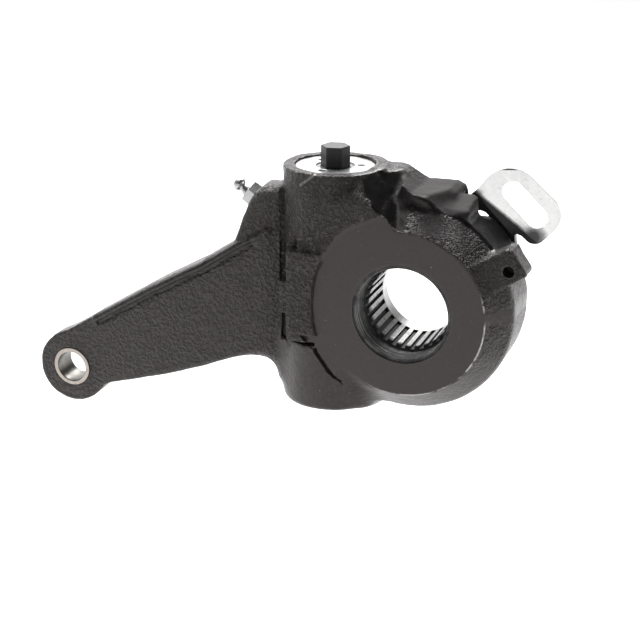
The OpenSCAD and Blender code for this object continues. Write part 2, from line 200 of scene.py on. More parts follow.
MAT = {
    "black_paint": cast_paint(),
    "machined_steel": metal("machined_steel", (0.34, 0.33, 0.32), (0.62, 0.61, 0.60), 0.30, 500.0, 1.0, 0.15, (0.10, 0.095, 0.09)),
    "dark_steel": metal("dark_steel", (0.003, 0.003, 0.003), (0.007, 0.0062, 0.0064), 0.42, 700.0, 0.0, 0.5),
    "zinc": metal("zinc", (0.80, 0.81, 0.81), (0.90, 0.90, 0.885), 0.24, 380.0, 1.0, 0.06),
    "zinc_dull": metal("zinc_dull", (0.60, 0.60, 0.60), (0.78, 0.78, 0.77), 0.36, 380.0, 1.0, 0.12),
    "bush_metal": metal("bush_metal", (0.36, 0.33, 0.30), (0.52, 0.48, 0.44), 0.34, 520.0, 1.0, 0.2),
    "rubber": soft("rubber", (0.010, 0.010, 0.010), (0.022, 0.022, 0.022), 0.62),
    "spring_steel": metal("spring_steel", (0.26, 0.26, 0.27), (0.42, 0.42, 0.43), 0.34, 600.0, 1.0, 0.1),
}


def mm_coords(t, co):
    """The object coordinates in millimetres: x, y, z and the distance from the spline's axis."""
    sep = node(t, "ShaderNodeSeparateXYZ", {0: co}).outputs
    x, y, z = (math_(t, "MULTIPLY", sep[i], 1000.0) for i in range(3))
    return x, y, z, math_(t, "SQRT", math_(t, "ADD", math_(t, "MULTIPLY", x, x), math_(t, "MULTIPLY", z, z)))


def near(t, v, at, width):
    """1 where v is within about that width of a value, 0 elsewhere."""
    return span(t, math_(t, "ABSOLUTE", math_(t, "SUBTRACT", v, at)), width, width * 0.4)


def wheel_steel():
    """Broached steel: bright tooth tips and rear ring, painted shade making the groove floors nearly black, dark
    towards the front and in patches, thin turned rings at the mouth.
    """
    m, t, b, co = new_mat("wheel_steel")
    x, y, z, rad = mm_coords(t, co)
    n1 = noise(t, co, 260.0, 4.0, 0.65)
    n2 = noise(t, co, 900.0, 3.0, 0.6)
    edge = math_(t, "ADD", rad, math_(t, "MULTIPLY", math_(t, "SUBTRACT", n2, 0.5), 0.35))
    # Painted shade: the groove floors are nearly black; the front end and scattered patches are darkened too.
    black = math_(t, "MULTIPLY", span(t, edge, 18.16, 18.34), span(t, y, 14.1, 13.7))
    front = span(t, math_(t, "ADD", y, math_(t, "MULTIPLY", math_(t, "SUBTRACT", n1, 0.5), 7.0)), -3.6, -5.6)
    black = math_(t, "MAXIMUM", black, math_(t, "MULTIPLY", front, 0.85))
    black = math_(t, "MAXIMUM", black, math_(t, "MULTIPLY", span(t, n1, 0.56, 0.68), span(t, y, 12.0, 6.0, 0.0, 0.75)))
    rings = math_(t, "MAXIMUM", near(t, rad, 20.15, 0.16), math_(t, "MAXIMUM", near(t, rad, 20.75, 0.10), near(t, rad, 21.35, 0.10)))
    rings = math_(t, "MULTIPLY", rings, span(t, y, -16.9, -17.1))
    wall = math_(t, "MAXIMUM", near(t, y, -15.9, 0.22), math_(t, "MAXIMUM", near(t, y, -13.4, 0.35), near(t, y, -10.2, 0.2)))
    wall = math_(t, "MULTIPLY", wall, span(t, rad, 19.5, 19.8))
    ring_co = node(t, "ShaderNodeCombineXYZ", {0: math_(t, "MULTIPLY", rad, 1.7), 1: math_(t, "MULTIPLY", y, 1.7), 2: math_(t, "MULTIPLY", noise(t, co, 45.0, 2.0, 0.5), 1.5)}).outputs[0]
    turned = noise(t, ring_co, 1.0, 2.0, 0.6)
    mouth = math_(t, "MULTIPLY", span(t, rad, 19.4, 19.7), span(t, y, -6.5, -8.0))
    wall = math_(t, "MAXIMUM", wall, math_(t, "MULTIPLY", span(t, turned, 0.56, 0.64), mouth))
    lines = math_(t, "MULTIPLY", math_(t, "MAXIMUM", rings, wall), span(t, noise(t, co, 130.0, 3.0, 0.6), 0.36, 0.56, 0.1, 0.85))
    steel = mixc(t, span(t, n1, 0.3, 0.7), (0.13, 0.128, 0.125), (0.30, 0.298, 0.295))
    steel = mixc(t, span(t, y, 13.6, 14.2), steel, mixc(t, span(t, n1, 0.3, 0.7), (0.40, 0.40, 0.395), (0.52, 0.52, 0.515)))
    col = mixc(t, math_(t, "MULTIPLY", black, span(t, lines, 1.0, 0.0)), steel, (0.008, 0.0075, 0.0075))
    t.links.new(col, b.inputs["Base Color"])
    t.links.new(span(t, math_(t, "SUBTRACT", black, lines), 0.3, 0.7, 1.0, 0.0), b.inputs["Metallic"])
    t.links.new(mixf(t, math_(t, "MULTIPLY", black, span(t, lines, 1.0, 0.0)), mixf(t, n2, 0.22, 0.40), 0.62), b.inputs["Roughness"])
    t.links.new(bump(t, b, math_(t, "ADD", n2, turned), 0.4, 0.0003), b.inputs["Normal"])
    return m


def arm_zinc():
    """Bright zinc with a painted dark reflection of the black hub over its inner end, fading out past the bend."""
    m, t, b, co = new_mat("arm_zinc")
    x, y, z, rad = mm_coords(t, co)
    ca, sa = math.cos(math.radians(44.5)), math.sin(math.radians(44.5))
    u = math_(t, "ADD", math_(t, "MULTIPLY", x, ca), math_(t, "MULTIPLY", z, sa))
    v = math_(t, "SUBTRACT", math_(t, "MULTIPLY", z, ca), math_(t, "MULTIPLY", x, sa))
    n1 = noise(t, co, 380.0, 4.0, 0.6)
    n2 = noise(t, co, 70.0, 3.0, 0.55)
    # Painted reflection: the black hub's dark reflection over the strap's inner end, with a dark blob at the tab's
    # lower end.
    lim = math_(t, "ADD", u, math_(t, "MULTIPLY", math_(t, "SUBTRACT", v, 6.0), 0.173))
    lim = math_(t, "ADD", lim, math_(t, "MULTIPLY", math_(t, "SUBTRACT", n1, 0.5), 0.8))
    hub_reflection = span(t, lim, 48.3, 46.9)
    du, dv = math_(t, "SUBTRACT", u, 50.6), math_(t, "SUBTRACT", v, -13.0)
    reflection_blob = math_(t, "SQRT", math_(t, "ADD", math_(t, "MULTIPLY", du, du), math_(t, "MULTIPLY", dv, dv)))
    reflection_blob = math_(t, "MULTIPLY", span(t, math_(t, "ADD", reflection_blob, math_(t, "MULTIPLY", math_(t, "SUBTRACT", n1, 0.5), 2.5)), 6.6, 2.4), 0.9)
    dark = math_(t, "MAXIMUM", hub_reflection, reflection_blob)
    dark = math_(t, "MULTIPLY", dark, span(t, y, 29.5, 27.5))
    zinc = mixc(t, span(t, n2, 0.3, 0.7), (0.84, 0.845, 0.84), (0.92, 0.92, 0.905))
    # Painted shade on the sheet's side faces.
    side_face_shade = node(t, "ShaderNodeAttribute", attribute_name="side_face_shade").outputs["Fac"]
    zinc = mixc(t, side_face_shade, zinc, (0.07, 0.07, 0.072))
    zinc = mixc(t, span(t, noise(t, co, 900.0, 2.0, 0.5), 0.62, 0.72, 0.0, 0.35), zinc, (0.62, 0.62, 0.60))
    t.links.new(mixc(t, dark, zinc, (0.012, 0.012, 0.014)), b.inputs["Base Color"])
    t.links.new(mixf(t, dark, mixf(t, n1, 0.16, 0.26), 0.30), b.inputs["Roughness"])
    t.links.new(span(t, dark, 0.2, 0.95, 1.0, 0.0), b.inputs["Metallic"])
    t.links.new(bump(t, b, n1, 0.08, 0.0002), b.inputs["Normal"])
    return m


def cover_zinc():
    """Bright zinc disc with painted shade inside its spanner holes, down its side and in patches round its edge, mixed
    with grime, and patchy darkening near the centre.
    """
    m, t, b, co = new_mat("cover_zinc")
    x, y, z, rad = mm_coords(t, co)
    dx, dy = math_(t, "ADD", x, 36.8), math_(t, "SUBTRACT", y, 3.0)
    q = math_(t, "SQRT", math_(t, "ADD", math_(t, "MULTIPLY", dx, dx), math_(t, "MULTIPLY", dy, dy)))
    n1 = noise(t, co, 420.0, 4.0, 0.6)
    # Painted shade: near black below the disc's top face, inside its holes and down its side; the rim patches are
    # painted shade mixed with grime.
    low = span(t, z, 55.45, 55.1)
    grime_and_rim_shade = math_(t, "MULTIPLY", span(t, q, 15.6, 17.0), span(t, noise(t, co, 220.0, 3.0, 0.6), 0.45, 0.62))
    grime_and_rim_shade = math_(t, "MAXIMUM", grime_and_rim_shade, math_(t, "MULTIPLY", span(t, q, 9.6, 8.2), span(t, n1, 0.4, 0.6, 0.0, 0.6)))
    dark = math_(t, "MAXIMUM", low, grime_and_rim_shade)
    zinc = mixc(t, span(t, n1, 0.3, 0.7), (0.46, 0.47, 0.475), (0.60, 0.60, 0.59))
    t.links.new(mixc(t, dark, zinc, (0.03, 0.03, 0.03)), b.inputs["Base Color"])
    t.links.new(mixf(t, n1, 0.22, 0.36), b.inputs["Roughness"])
    t.links.new(span(t, dark, 0.2, 0.9, 1.0, 0.1), b.inputs["Metallic"])
    t.links.new(bump(t, b, n1, 0.1, 0.0002), b.inputs["Normal"])
    return m


def bush_steel():
    """Turned steel ring, darker and streaked along its bore."""
    m, t, b, co = new_mat("bush_steel")
    x, y, z, rad = mm_coords(t, co)
    dx, dz = math_(t, "ADD", x, 164.5), math_(t, "ADD", z, 51.0)
    q = math_(t, "SQRT", math_(t, "ADD", math_(t, "MULTIPLY", dx, dx), math_(t, "MULTIPLY", dz, dz)))
    n1 = noise(t, co, 420.0, 4.0, 0.6)
    n2 = noise(t, co, 120.0, 3.0, 0.6)
    inside = span(t, q, 7.45, 7.2)
    ring = mixc(t, span(t, n1, 0.3, 0.7), (0.33, 0.295, 0.262), (0.46, 0.415, 0.375))
    bore = mixc(t, span(t, n2, 0.3, 0.7), (0.10, 0.096, 0.088), (0.20, 0.192, 0.178))
    rim = span(t, q, 9.0, 9.3)
    t.links.new(mixc(t, rim, mixc(t, inside, ring, bore), (0.03, 0.026, 0.024)), b.inputs["Base Color"])
    b.inputs["Metallic"].default_value = 1.0
    t.links.new(mixf(t, n1, 0.26, 0.42), b.inputs["Roughness"])
    t.links.new(bump(t, b, n1, 0.2, 0.0002), b.inputs["Normal"])
    return m


OWN = {"worm_wheel": wheel_steel(), "control_arm": arm_zinc(), "top_cover": cover_zinc(), "clevis_bush": bush_steel(),
       "grease_nipple": metal("nipple_zinc", (0.42, 0.425, 0.43), (0.60, 0.60, 0.59), 0.26, 420.0, 1.0, 0.05),
       "hex_seal": soft("seal_grey", (0.16, 0.17, 0.165), (0.26, 0.27, 0.262), 0.4)}
SLOT = {}
for entry in frame["record"]["subparts"]:
    SLOT[entry["node"]] = entry["material_slot"]

# ---------------------------------------------------------------- cast housing
# A distance field in millimetres, so the cast fillets and the sharp machined cuts
# come out of one surface. y = -18 is the machined front face.
XW, YW = -36.8, 3.0
CX, CZ = -164.5, -51.0
LEVER = [(-45, 46), (-57, 46.9), (-66.3, 46.4), (-70.1, 42.8), (-72.7, 38.5), (-76.7, 28.2), (-79.6, 20.1), (-95.6, 9.4), (-121.2, -4.9),
         (-147.6, -21.6), (-173.1, -37.3), (-164.5, -51), (-156, -63.4), (-150.5, -60.2), (-146.6, -57.6), (-143.4, -56.3), (-140, -55.4), (-124.7, -50.7), (-115.2, -47.9),
         (-97, -41), (-80.8, -34.2), (-76.9, -32.9), (-72.5, -32.2), (-68.4, -32.2), (-65.6, -32.8), (-63.3, -33.9), (-61.4, -35.4), (-59.9, -37.4), (-58.9, -40), (-45, -44)]
WEB = [(-30, 30), (-30, 55.6), (-11.5, 55.6), (-9, 55), (0.2, 49.6), (13, 49.8), (15.4, 48.2), (15.9, 45.6), (15.5, 28)]
STEP = [(8, 28), (8, 46.4), (22.0, 47.3), (23.8, 45.8), (24.6, 41.0), (24.0, 36), (20, 28)]
LUG = [(30, -8.6), (36, -8.2), (55.2, -7.6), (56, -6), (55.4, 4.4), (53.6, 6), (30, 6)]
RIB = [(-150.0, -25.6), (-120.0, -7.4), (-94.4, 7.0), (-76.2, 19.0), (-63.0, 26.3)]


def smin(a, b, k):
    h = np.maximum(k - np.abs(a - b), 0.0) / k
    return np.minimum(a, b) - h * h * (k * 0.25)


def smax(a, b, k):
    return -smin(-a, -b, k)


def poly2(px, pz, pts):
    px, pz = np.broadcast_arrays(px, pz)
    d = np.full(px.shape, 1e12)
    s = np.ones(px.shape)
    n = len(pts)
    for i in range(n):
        ax, az = pts[i]
        bx, bz = pts[i - 1]
        ex, ez = bx - ax, bz - az
        wx, wz = px - ax, pz - az
        f = np.clip((wx * ex + wz * ez) / (ex * ex + ez * ez), 0.0, 1.0)
        d = np.minimum(d, (wx - ex * f) ** 2 + (wz - ez * f) ** 2)
        c1, c2, c3 = pz >= az, pz < bz, ex * wz > ez * wx
        flip = (c1 & c2 & c3) | (~c1 & ~c2 & ~c3)
        s = np.where(flip, -s, s)
    return s * np.sqrt(d)


def line2(px, pz, pts):
    d = 1e12
    for (ax, az), (bx, bz) in zip(pts[:-1], pts[1:]):
        ex, ez = bx - ax, bz - az
        wx, wz = px - ax, pz - az
        f = np.clip((wx * ex + wz * ez) / (ex * ex + ez * ez), 0.0, 1.0)
        d = np.minimum(d, (wx - ex * f) ** 2 + (wz - ez * f) ** 2)
    return np.sqrt(d)


def rbox(x, y, z, lo, hi, k=0.6):
    dx = np.abs(x - (lo[0] + hi[0]) / 2) - (hi[0] - lo[0]) / 2
    dy = np.abs(y - (lo[1] + hi[1]) / 2) - (hi[1] - lo[1]) / 2
    dz = np.abs(z - (lo[2] + hi[2]) / 2) - (hi[2] - lo[2]) / 2
    return smax(smax(dx, dy, k), dz, k)


LATTICE = RNG.rand(32, 32, 32)


def lump(x, y, z, wave):
    """Smooth value noise, -1 to 1, with that wavelength in millimetres."""
    def part(v):
        v = v / wave + 400.0
        i = np.floor(v).astype(np.int64)
        f = v - i
        return i & 31, (i + 1) & 31, f * f * (3 - 2 * f)
    (x0, x1, fx), (y0, y1, fy), (z0, z1, fz) = part(x), part(y), part(z)
    L = LATTICE
    a = (L[x0, y0, z0] * (1 - fx) + L[x1, y0, z0] * fx) * (1 - fy) + (L[x0, y1, z0] * (1 - fx) + L[x1, y1, z0] * fx) * fy
    b = (L[x0, y0, z1] * (1 - fx) + L[x1, y0, z1] * fx) * (1 - fy) + (L[x0, y1, z1] * (1 - fx) + L[x1, y1, z1] * fx) * fy
    return 2 * (a * (1 - fz) + b * fz) - 1


def turn(x, z):
    return np.mod(np.degrees(np.arctan2(z, x)), 360.0)


def face_edge(th):
    """Radius of the machined face at that angle, where it is not the flare that ends it."""
    return np.interp(th, [0, 92, 104, 115, 127, 139, 150, 160, 173, 185, 200, 240, 360],
                     [39.2, 42.6, 42.4, 41.8, 41.6, 40.7, 39.4, 39.5, 38.9, 39.0, 39.4, 39.2, 39.2])


def gash_line(x, z):
    """Signed distance from the casting crease under the pad, positive to its lower left."""
    return -0.75 * (x + 38.6) - 0.661 * (z + 20.6)


def cast(x, y, z):
    r = np.sqrt(x * x + z * z)
    th = turn(x, z)
    hub = smax(smax(r - 45.5, (r - 35.7) * 0.741 - (y + 18) * 0.672, 1.6), y - 18.0, 0.8)
    hub = np.maximum(hub, -21.0 - y)
    col = smax(smax(np.sqrt((x - XW) ** 2 + (y - YW) ** 2) - 22.2, z - 56.6, 1.0), -48.7 - z, 3.2)
    col = smax(col, -18.8 - y, 3.0) * (z > 10) + col * (z <= 10)
    # the column's rough front runs on to the ear, up to a smooth wall that faces right
    wall = 0.664 * x - 0.380 * y + 0.643 * z - 27.5
    fill = smax(smax(-18.7 - y, 0.6 * (z - 47.5) - 0.8 * (y + 18.7), 2.0), wall, 0.7)
    fill = np.maximum(np.maximum(fill, np.maximum(-40.0 - x, y - 8.0)), np.maximum(12.0 - z, z - 55.4))
    # ear of the face at the upper left, with its rough shoulder and the wall at its right
    re = face_edge(th)
    ear = smax(smax(r - 48.0, (r - re) * 0.78 - (y + 18) * 0.62, 0.5), (r - re - 1.0) * 0.881 - (y + 16.8) * 0.473, 0.6)
    ear = smax(ear, wall, 0.7)
    ear = np.maximum(np.maximum(smax(ear, 6 - z, 2.0), y - 2), -21.0 - y)
    half = np.interp(x, [-185, -150, -130, -100, -78, -40], [6, 6, 7, 8.4, 9.2, 9.4])
    flat = smin(poly2(x, z, LEVER), np.sqrt((x - CX - 0.3) ** 2 + (z - CZ + 0.2) ** 2) - 17.0, 2.0)
    lever = smax(flat, np.abs(y) - half, np.interp(x, [-150, -120, -76, -64], [1.4, 2.2, 2.6, 6.5]))
    rib = smax(line2(x + 0.3, z - 0.5, RIB) - 1.8, np.abs(y) - (half + 2.0), 2.8)
    roll = rbox(x, y, z, (-60.5, -9.4, 40.0), (-54.0, 8.0, 47.4), 4.0)
    boss = smax(np.sqrt((y - 15.2) ** 2 + (z - 41) ** 2) - 7.5, np.abs(x + 23) - 39, 2.0)
    web = smax(smax(poly2(x, z, WEB), -0.45 * (x + 12) - 3.0 - y, 1.0), y - 20, 1.5)
    web = smax(web, -9.6 - y, 4.0)
    web = smax(web, 0.664 * (x + 16.9) - 0.380 * (y + 7.1) + 0.643 * (z - 56.0) - 12.0 * np.clip((x + 8.0) / 5.0, 0, 1) ** 2, 1.0)
    step = smax(smax(poly2(x, z, STEP), 0.976 * (z - 47.3) + 0.21 * (11.0 - y), 1.5), y - 11.0, 1.0)
    step = smax(step, -7.0 - y, 3.0)
    ca, sa = math.cos(math.radians(31)), math.sin(math.radians(31))
    u, v = x * ca + z * sa, z * ca - x * sa
    lug = smax(poly2(u, v, LUG), np.abs(y + 10.25) - 5.75, 1.3)
    pad = rbox(x, y, z, (-50.6, -20.4, -17.4), (-30, 0, 22.8), 1.2)
    tab = rbox(x, y, z, (-53.6, -19.8, -4.9), (-45, 0, 8.9), 0.6)
    d = smin(hub, col, np.interp(z, [-40.0, -16.0], [11.0, 1.2]))
    d = smin(d, lever, np.interp(z, [-30.0, -10.0], [6.0, 1.6]))
    d = smin(d, roll, 2.0)
    d = smin(d, boss, 4.0)
    d = smin(smin(d, web, 4.0), step, 2.0)
    d = smin(d, lug, 2.0)
    d = smin(d, rib, 1.0)
    d = smin(d, fill, 1.2)
    d = smin(d, ear, 0.8)
    # slits beside the column, the hollow over the pad, the gap under it and the crease below
    slit = smin(rbox(x, y, z, (-57.4, -22.0, 4.6), (-54.2, -7.6, 22.8), 0.6), rbox(x, y, z, (-57.4, -16.0, 20.0), (-55.0, -8.2, 47.0), 1.6), 0.6)
    slit2 = rbox(x, y, z, (-56.6, -22.0, -20.4), (-53.0, -8.0, -5.2), 0.8)
    hollow = smax(smax(np.abs(x + 51.8) - 4.8, np.abs(z - 25.2) - 2.8, 0.8), y + 12.4 + 0.4 * (z - 22.6), 0.8)
    groove = np.maximum(line2(x - 0.9, z + 1.5, RIB) - 0.9, y + half - 0.6)
    d = smax(d, -np.maximum(groove, x + 70.0), 0.5)
    under = rbox(x, y, z, (-55.0, -24.0, -19.3), (-38.2, -14.5, -16.0), 0.6)
    d = smax(d, -slit, 0.8)
    d = smax(d, -slit2, 0.8)
    d = smax(d, -hollow, 0.8)
    d = smin(smin(d, pad, 0.7), tab, 0.7)
    d = smax(d, -np.maximum(under, 17.5 + z), 0.5)
    rough = np.interp(z, [-20.0, -8.0], [0.35, 1.0]) * np.interp(x, [-150.0, -100.0], [0.5, 1.0])
    rough = np.where(x < -60.0, np.interp(x, [-150.0, -100.0], [0.5, 1.0]), rough)
    return d + rough * (0.15 * lump(x, y, z, 5.5) + 0.085 * lump(x + 31, y + 7, z + 3, 2.3))


NIP = Matrix.Translation((-72.2, 0, 39.3)) @ Matrix.Rotation(math.radians(-57.0), 4, "Y")


def cuts(x, y, z):
    """Machined pockets: negative where metal is taken away."""
    r = np.sqrt(x * x + z * z)
    q = np.sqrt((x - XW) ** 2 + (y - YW) ** 2)
    k = np.sqrt((y - 15.2) ** 2 + (z - 41) ** 2)
    th = turn(x, z)
    over = np.maximum(r - face_edge(th), 0.0)
    slope = np.interp(th, [112, 122, 148, 158], [4.0, 0.75, 0.75, 4.0])
    face = np.maximum(y + 18 + slope * over, over - 5.0)
    gl = gash_line(x, z)
    low = np.maximum(np.maximum(gl, r - 47.0), np.maximum(z + 14.0, y + 18.0))
    wig = gl + 0.8 * lump(x, y * 0 + 4.0, z, 3.1) + 0.018 * (0.661 * (x + 32.0) - 0.75 * (z + 28.2)) ** 2 - 0.9
    along = np.abs(0.661 * (x + 32.0) - 0.75 * (z + 28.2)) - 10.3
    gash = np.maximum(np.maximum(np.maximum(np.abs(wig) - 0.7, along), y + 16.4), z + 19.4)
    c = np.minimum(np.minimum(face, low), np.maximum(r - 21.5, y - 1))
    c = np.minimum(c, gash)
    c = np.minimum(c, np.maximum(r - 30.7, -6 - y))
    c = np.minimum(c, np.maximum(r - 33.4, 11.6 - y))
    c = np.minimum(c, np.maximum(np.maximum(r - 40.1, 15.2 - y), z - 34.7))
    c = np.minimum(c, np.maximum(q - 11.8, np.maximum(-42.1 - z, z - 47)))
    c = np.minimum(c, np.maximum(q - 17.35, 46.9 - z))
    c = np.minimum(c, np.maximum(q - 13.5, z + 42))
    c = np.minimum(c, np.maximum(k - 4.45, np.maximum(-59 - x, x - 30)))
    c = np.minimum(c, np.maximum(k - 5.6, 13.4 - x))
    c = np.minimum(c, np.maximum(np.maximum(np.abs(x - 2) - 12.5, np.abs(y - 13.2) - 1.6), np.abs(z - 33.5) - 7.5))
    c = np.minimum(c, np.sqrt((x - CX) ** 2 + (z - CZ) ** 2) - 9.4)
    for a in (48, 0, -45, -88, -125, 122):
        sx, sz = 36.7 * math.cos(math.radians(a)), 36.7 * math.sin(math.radians(a))
        c = np.minimum(c, np.maximum(np.sqrt((x - sx) ** 2 + (z - sz) ** 2) - 2.0, 5.5 - y))
    inv = NIP.inverted()
    lx = inv[0][0] * x + inv[0][2] * z + inv[0][3]
    lz = inv[2][0] * x + inv[2][2] * z + inv[2][3]
    lr = np.sqrt(lx * lx + y * y)
    c = np.minimum(c, np.maximum(lr - 3.0, -7.5 - lz))
    c = np.minimum(c, np.maximum(lr - 6.2, np.maximum(-lz, lz - 14)))
    ca, sa = math.cos(math.radians(31)), math.sin(math.radians(31))
    u, v = x * ca + z * sa, z * ca - x * sa
    c = np.minimum(c, np.maximum(np.sqrt((u - 49.7) ** 2 + (v + 2.7) ** 2) - 2.4, y + 9))
    return c


def field(x, y, z):
    return np.maximum(cast(x, y, z), -cuts(x, y, z))


def contour(fn, lo, hi, h):
    """Dual contouring: (vertices, quads) of the surface fn = 0, keeping sharp edges."""
    ax = [np.arange(lo[i], hi[i] + h, h) for i in range(3)]
    shape = tuple(len(a) for a in ax)
    F = np.empty(shape)
    for s in range(0, shape[0], 40):
        xs = ax[0][s:s + 40][:, None, None]
        F[s:s + 40] = fn(xs, ax[1][None, :, None], ax[2][None, None, :])
    inside = F < 0
    pts, cells, quads = [], [], []
    strides = np.array([shape[1] * shape[2], shape[2], 1])
    for a in range(3):
        b, c = (a + 1) % 3, (a + 2) % 3
        s0 = [slice(None)] * 3
        s1 = [slice(None)] * 3
        s0[a], s1[a] = slice(0, -1), slice(1, None)
        for q in (b, c):
            s0[q] = s1[q] = slice(1, -1)
        cross = inside[tuple(s0)] != inside[tuple(s1)]
        idx = np.argwhere(cross)
        idx[:, b] += 1
        idx[:, c] += 1
        nxt = idx.copy()
        nxt[:, a] += 1
        f0, f1 = F[tuple(idx.T)], F[tuple(nxt.T)]
        p = np.stack([ax[i][idx[:, i]] for i in range(3)], 1)
        p[:, a] += h * f0 / (f0 - f1)
        pts.append(p)
        four = []
        for db, dc in ((0, 0), (-1, 0), (-1, -1), (0, -1)):
            e = idx.copy()
            e[:, b] += db
            e[:, c] += dc
            four.append(e @ strides)
        four = np.stack(four, 1)
        cells.append(four)
        quads.append(np.where((f0 < 0)[:, None], four, four[:, ::-1]))
    P = np.concatenate(pts)
    C = np.concatenate(cells)
    Q = np.concatenate(quads)
    eps = 0.03
    g = np.stack([fn(P[:, 0] + eps * (i == 0), P[:, 1] + eps * (i == 1), P[:, 2] + eps * (i == 2))
                  - fn(P[:, 0] - eps * (i == 0), P[:, 1] - eps * (i == 1), P[:, 2] - eps * (i == 2)) for i in range(3)], 1)
    g /= np.maximum(np.linalg.norm(g, axis=1, keepdims=True), 1e-9)
    ids, inv = np.unique(C, return_inverse=True)
    inv = inv.reshape(C.shape)
    n = len(ids)
    cell_lo = np.stack([ax[0][ids // strides[0]], ax[1][(ids % strides[0]) // strides[1]], ax[2][ids % strides[1]]], 1)
    flat = inv.ravel()
    rep = np.repeat(np.arange(len(P)), 4)
    cnt = np.bincount(flat, minlength=n)[:, None]
    mass = np.stack([np.bincount(flat, P[rep, i], n) for i in range(3)], 1) / cnt
    G, off = g[rep], None
    b_ = np.einsum("ij,ij->i", G, P[rep] - mass[flat])
    ATA = np.zeros((n, 3, 3))
    ATb = np.zeros((n, 3))
    for i in range(3):
        ATb[:, i] = np.bincount(flat, G[:, i] * b_, n)
        for j in range(i, 3):
            ATA[:, i, j] = ATA[:, j, i] = np.bincount(flat, G[:, i] * G[:, j], n)
    ATA += np.eye(3) * 0.06 * cnt[:, :, None]
    V = mass + np.linalg.solve(ATA, ATb[:, :, None])[:, :, 0]
    V = np.clip(V, cell_lo - 0.1 * h, cell_lo + 1.1 * h)
    quad_ids = np.searchsorted(ids, Q)
    return V, quad_ids


def mesh_object(name, verts_mm, faces):
    me = bpy.data.meshes.new(name)
    me.vertices.add(len(verts_mm))
    me.vertices.foreach_set("co", (verts_mm * MM).astype(np.float32).ravel())
    me.loops.add(faces.size)
    me.loops.foreach_set("vertex_index", faces.astype(np.int32).ravel())
    me.polygons.add(len(faces))
    me.polygons.foreach_set("loop_start", np.arange(0, faces.size, faces.shape[1], dtype=np.int32))
    me.update(calc_edges=True)
    me.validate()
    ob = bpy.data.objects.new(name, me)
    scene.collection.objects.link(ob)
    return ob


def shade(ob, angle=38.0):
    ob.data.polygons.foreach_set("use_smooth", np.ones(len(ob.data.polygons), bool))
    ob.data.set_sharp_from_angle(angle=math.radians(angle))


def finish_piece(ob, replaced, mat_slot, body=None):
    ob.data.materials.clear()
    ob.data.materials.append(OWN.get(replaced, MAT[mat_slot]))
    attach(ob, body or BODY_OF[replaced])
    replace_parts(ob, replaced)
    return ob


V, Q = contour(field, (-183.5, -21.5, -69.5), (60.0, 27.4, 59.5), 0.875)
housing = mesh_object("housing_casting", V, Q)
vx, vy, vz = V.T
vr = np.hypot(vx, vz)
vth = turn(vx, vz)
on_cut = (-cuts(vx, vy, vz) > cast(vx, vy, vz) - 0.06).astype(np.float32)
glit = np.clip((vr - 35.5) / 2, 0, 1) * np.clip((47.0 - vr) / 1.5, 0, 1) * (vy < -4) * np.clip((vth - 14) / 8, 0, 1) * np.clip((96 - vth) / 14, 0, 1)
calm = np.clip((-12.0 - vz) / 10.0, 0, 1) * np.clip((vx + 62) / 5.0, 0, 1)
calm = np.maximum(calm, np.clip((vx - 10) / 20, 0, 1) * np.clip((12 - vth) / 6 + (vth > 180) * 9, 0, 1))
calm = np.maximum(calm, 0.45 * np.clip((-100 - vx) / 30.0, 0, 1))
wall_d = 0.664 * vx - 0.380 * vy + 0.643 * vz - 27.5
# Painted shade zones: the smooth wall, the flare beside it, the web's front and the rib's band get a smoother, nearly
# black paint.
painted_shade_zones = np.exp(-(wall_d / 1.0) ** 2) * (vy > -17.6) * (vz > 26) * (vx > -24)
painted_shade_zones = np.maximum(painted_shade_zones, np.clip((vth - 80) / 12, 0, 1) * np.clip((118 - vth) / 8, 0, 1) * (vr > 34) * (vy > -17.6) * (wall_d > -0.8))
front_web = np.clip((vz - 41.0) / 2.5, 0, 1) * (vx > -14) * (vx < 26) * np.clip((-5.5 - vy) / 2.0, 0, 1) * (wall_d > -0.8)
glit = glit * (1 - front_web)
calm = np.maximum(calm, 0.35 * np.clip((-60 - vx) / 5.0, 0, 1))
# Ledge and step tops: a dull finish, and painted darker as shade.
dull_and_shaded = np.clip((vx + 9) / 3.0, 0, 1) * np.clip((vz - 41.5) / 2.0, 0, 1) * np.clip((vy + 9.0) / 2.0, 0, 1) * (vx < 27)
painted_shade_zones = np.maximum(painted_shade_zones, front_web)
# A band along the rib's lower side, painted dark as shade.
rib_shade_band = np.clip(1.0 - np.abs(line2(vx, vz, RIB) - 1.2) / 1.8, 0, 1) * (vx < -66) * (vy < 0)
painted_shade_zones = np.maximum(painted_shade_zones, 0.9 * rib_shade_band)
# The painted shade mask: the zones above plus the outer rim at the upper right.
painted_shade = np.maximum(painted_shade_zones, np.clip((vr - 44.2) / 1.2, 0, 1) * np.clip((vth - 20) / 6, 0, 1) * np.clip((96 - vth) / 10, 0, 1) * np.clip((vy + 9.5) / 2.0, 0, 1))
step = 1.3
bend = sum(field(vx + step * (i == 0) * q, vy + step * (i == 1) * q, vz + step * (i == 2) * q) for i in range(3) for q in (1, -1)) / 6.0
edge = np.clip((bend - 0.17) / 0.16, 0, 1) * (vy < 12) * (vx > -54) * (vz < 30)
for nm, val in (("mach", on_cut), ("glit", glit), ("calm", calm), ("edge", edge * (1 - painted_shade)), ("painted_shade", painted_shade), ("dull_and_shaded", dull_and_shaded)):
    at = housing.data.attributes.new(nm, "FLOAT", "POINT")
    at.data.foreach_set("value", np.asarray(val, np.float32))
shade(housing, 40)
finish_piece(housing, "housing", "black_paint")
print("housing faces", len(Q))

# ---------------------------------------------------------------- edge-broken copies of the other pieces


